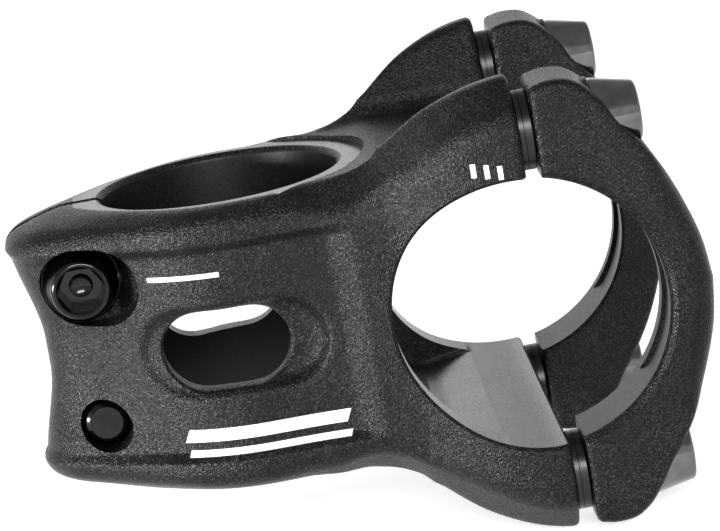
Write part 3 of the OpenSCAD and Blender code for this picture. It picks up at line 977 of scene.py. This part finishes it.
def threadRadii(x, angles, length, plain):
    # radius of the thread round one ring, x being negative from the head towards the tip
    b = bolt
    phase = (x / b["pitch"] - angles / (2 * math.pi)) % 1.0
    ridge = np.clip(b["crest"] - np.abs(phase - 0.5) * b["flank"], 0, 1)
    fade = min(1.0, (-plain - x) / b["fade"])
    radius = b["threadRadius"] - b["threadDepth"] * (1 - ridge) * max(fade, 0)
    fromTip = x + length
    tip = b["tipFlat"] + b["tipShoulder"] * ease(fromTip, 0, 0.4) + max(fromTip - b["tipLength"], 0) * 0.9
    return np.minimum(radius, tip)


def threadedShank(name, length, plain, origin, direction):
    # a helical thread from the tip up to a plain neck, closed at both ends
    b = bolt
    steps, perTurn = 48, 8
    rows = int((length - plain) / b["pitch"] * perTurn)
    angles = ringAngles(steps)
    rings = [(x, threadRadii(x, angles, length, plain)) for x in np.linspace(-length, -plain, rows + 1)]
    rings.append((b["neckInHead"], np.full(steps, b["threadRadius"])))
    verts = [(r * math.cos(a), r * math.sin(a), x) for x, radii in rings for r, a in zip(radii, angles)]
    verts += [(0, 0, -length), (0, 0, b["neckInHead"])]
    faces = stackFaces(len(rings), steps)
    return faceOut(meshPiece(name, placed(verts, axisMatrix(origin, direction)), faces))


def headProfile():
    b = bolt
    tip, base, top, rim = b["headTip"], b["headBase"], b["headLength"], b["rim"]
    slope = (base - tip) / top
    profile = [(0, 0)] + [(h, base - inward) for h, inward in b["baseEdge"]]
    profile += [(top - rim + rim * math.sin(a), tip + slope * rim - rim * (1 - math.cos(a)))
                for a in np.linspace(0, math.pi / 2, 8)]
    return profile + [(top, b["mouthFlat"]), (top, 0)]


def socketCutters(name, origin, direction):
    # the hexagon, its coned mouth, and the drill mark at its bottom
    b = bolt
    o, d = np.array(origin, float), np.array(direction, float)
    floor, rimPlace = tuple(o + d * (b["headLength"] - b["socketDepth"])), tuple(o + d * b["headLength"])
    hexRadius = b["socketFlats"] / 2 / math.cos(math.pi / 6)
    cone = [(b["mouth"][0][0], 0)] + b["mouth"] + [(b["mouth"][-1][0], 0)]
    drill = [(-b["dimpleDepth"], 0), (-0.05, b["dimple"]), (0.6, b["dimple"]), (0.6, 0)]
    return [cylinder(name + "Hex", hexRadius, 0, 6, floor, direction, 6),
            lathe(name + "Mouth", cone, rimPlace, direction, 96),
            lathe(name + "Dimple", drill, floor, direction, 48)]


def makeBolt(name, origin, direction, length, plain, finish, node, body):
    # the origin is where the underside of the head meets the axis
    head = lathe(name, headProfile(), origin, direction, 96)
    carve(head, socketCutters(name, origin, direction))
    combine(head, [threadedShank(name + "Shank", length, plain, origin, direction)], "UNION")
    tidy(head, smallSharp)
    finishWith(head, finish)
    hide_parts(node)
    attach(head, body)


def makeWasher(name, origin, direction, finish, node, body):
    outer, inner, thick, soft = (washer[k] for k in ("outer", "inner", "thick", "soft"))
    profile = [(0, inner), (0, outer - soft), (soft, outer),
               (thick - soft, outer), (thick, outer - soft), (thick, inner)]
    piece = lathe(name, profile, origin, direction, 96, ring=True)
    tidy(piece, smallSharp)
    finishWith(piece, finish)
    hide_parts(node)
    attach(piece, body)


def makeInsert(name, origin, node):
    # sleeve in the body and a turned collar standing in the clamp gap
    v = insert
    inner, collar, deep, tall = v["inner"], v["collar"], v["deep"], v["tall"]
    edge, foot, mouth = v["edge"], v["footEdge"], v["mouth"]
    at, g, wider = v["grooveAt"], v["groove"], inner + v["relief"]
    profile = [(-deep, inner), (-deep, wider), (-deep + 2.6, wider),
               (-deep + 3.5, v["sleeve"]), (0, v["sleeve"]), (0, collar - foot), (foot, collar),
               (at, collar), (at + g / 2, collar - g), (at + g, collar - g), (at + 1.5 * g, collar),
               (tall - edge, collar), (tall, collar - edge), (tall, inner + mouth), (tall - mouth, inner)]
    piece = lathe(name, profile, origin, (1, 0, 0), 96, ring=True)
    tidy(piece, smallSharp)
    finishWith(piece, "insert")
    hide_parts(node)
    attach(piece, "stem")


def nodeEnds(node):
    # low and high corners of a CAD node in millimetres, and its middle
    low, high = (np.array(c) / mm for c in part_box(node))
    return low, high, (low + high) / 2


def makeClampSet(side, level):
    # one clamp bolt with its washer and insert, along +X; the head stands on the washer
    tag, key = side.capitalize() + level.capitalize(), f"{side}_{level}"
    low, high, middle = nodeEnds(f"washer_{key}")
    y, z, under = middle[1], middle[2], high[0]
    length = under - nodeEnds(f"bolt_{key}")[0][0]
    makeBolt(f"clampBolt{tag}", (under, y, z), (1, 0, 0), length, bolt["clampPlain"], "bolt",
             f"bolt_{key}", f"clamp_bolt_{key}")
    makeWasher(f"clampWasher{tag}", (low[0], y, z), (1, 0, 0), "washer",
               f"washer_{key}", f"clamp_washer_{key}")
    makeInsert(f"insert{tag}", (stem["frontFace"], y, z), f"insert_{key}")


def makePinchSet(turn, level):
    # one pinch bolt with its washer; turn is 1 where the head is on the right
    tag = level.capitalize()
    low, high, middle = nodeEnds(f"pinch_washer_{level}")
    seat, under = (high[1], low[1]) if turn > 0 else (low[1], high[1])
    boltLow, boltHigh, _ = nodeEnds(f"pinch_bolt_{level}")
    tip = boltHigh[1] if turn > 0 else boltLow[1]
    x, z, out = middle[0], middle[2], (0, -turn, 0)
    makeBolt(f"pinchBolt{tag}", (x, under, z), out, abs(tip - under), bolt["pinchPlain"], "pinch",
             f"pinch_bolt_{level}", f"pinch_bolt_{level}")
    makeWasher(f"pinchWasher{tag}", (x, seat, z), out, "pinchWasher", f"pinch_washer_{level}",
               f"pinch_washer_{level}")


for side in ("right", "left"):
    for level in ("top", "bottom"):
        makeClampSet(side, level)
for turn, level in ((1, "upper"), (-1, "lower")):
    makePinchSet(turn, level)
print("bolts, washers and inserts made")


studio = {
    "floorLevel": -27.45, "floorSize": 3000.0, "floorColour": (0.82, 0.82, 0.82, 1), "floorRoughness": 0.9,
    "floorGlow": 0.74,
    "skyBright": 1.05, "skyDark": 0.40, "skyFrom": 0.30, "skyTo": 0.50,
    "lights": [  # name, place, aims at, size, power; in metres and watts
        ("keySoftbox", (-0.60, -0.30, 0.03), (-0.02, -0.02, -0.02), (0.20, 0.09), 10.0),
        ("frontSoftbox", (0.06, -0.93, 0.39), (0.01, 0, 0), (0.6, 0.13), 8.5),
        ("backSoftbox", (-0.25, 0.85, 0.28), (0, 0, 0), (0.7, 0.22), 0.45),
    ],
}


def makeFloor():
    s = studio
    half, z = s["floorSize"] / 2, s["floorLevel"]
    corners = [(-half, -half, z), (half, -half, z), (half, half, z), (-half, half, z)]
    floor = meshPiece("floor", corners, [(0, 1, 2, 3)])
    material, _, shader = newMaterial("paleFloor")
    shader["Base Color"].default_value = s["floorColour"]
    shader["Roughness"].default_value = s["floorRoughness"]
    shader["Emission Color"].default_value = s["floorColour"]
    shader["Emission Strength"].default_value = s["floorGlow"]
    floor.data.materials.append(material)


def makeSky():
    # bright below and dimmer above
    s = studio
    world = bpy.data.worlds.new("studioSky")
    bpy.context.scene.world = world
    world.use_nodes = True
    t = world.node_tree
    split = t.nodes.new("ShaderNodeSeparateXYZ")
    t.links.new(t.nodes.new("ShaderNodeTexCoord").outputs["Generated"], split.inputs[0])
    level = remap(t, split.outputs["Z"], (s["skyFrom"], s["skyTo"]), (s["skyBright"], s["skyDark"]))
    t.links.new(level, t.nodes["Background"].inputs["Color"])


def makeLights():
    for name, place, aim, size, power in studio["lights"]:
        light = bpy.data.lights.new(name, "AREA")
        light.shape = "RECTANGLE"
        light.size, light.size_y = size
        light.energy = power
        lamp = bpy.data.objects.new(name, light)
        lamp.location = place
        lamp.rotation_mode = "QUATERNION"
        lamp.rotation_quaternion = (Vector(aim) - Vector(place)).to_track_quat("-Z", "Y")
        bpy.context.scene.collection.objects.link(lamp)


shot = {"azimuth": 1.79, "elevation": 12.72, "roll": -9.87, "target": (15.02, 0.0, 3.26), "distance": 500.0,
        "lens": 205.85, "sensor": 36.0}


def makeCamera():
    a, e, r = (math.radians(shot[k]) for k in ("azimuth", "elevation", "roll"))
    back = Vector((-math.sin(a) * math.cos(e), -math.cos(a) * math.cos(e), math.sin(e)))
    right = (-back).cross(Vector((0, 0, 1))).normalized()
    up = right.cross(-back)
    across = right * math.cos(r) + up * math.sin(r)
    above = up * math.cos(r) - right * math.sin(r)
    data = bpy.data.cameras.new("camera")
    data.lens = shot["lens"]
    data.sensor_width = shot["sensor"]
    data.clip_start, data.clip_end = 0.01, 20.0
    camera = bpy.data.objects.new("camera", data)
    place = (Vector(shot["target"]) + back * shot["distance"]) * mm
    camera.matrix_world = Matrix.Translation(place) @ Matrix((across, above, back)).transposed().to_4x4()
    bpy.context.scene.collection.objects.link(camera)
    bpy.context.scene.camera = camera


makeFloor()
makeSky()
makeLights()
makeCamera()
bpy.context.scene.view_settings.view_transform = "Standard"
print("studio and camera ready")
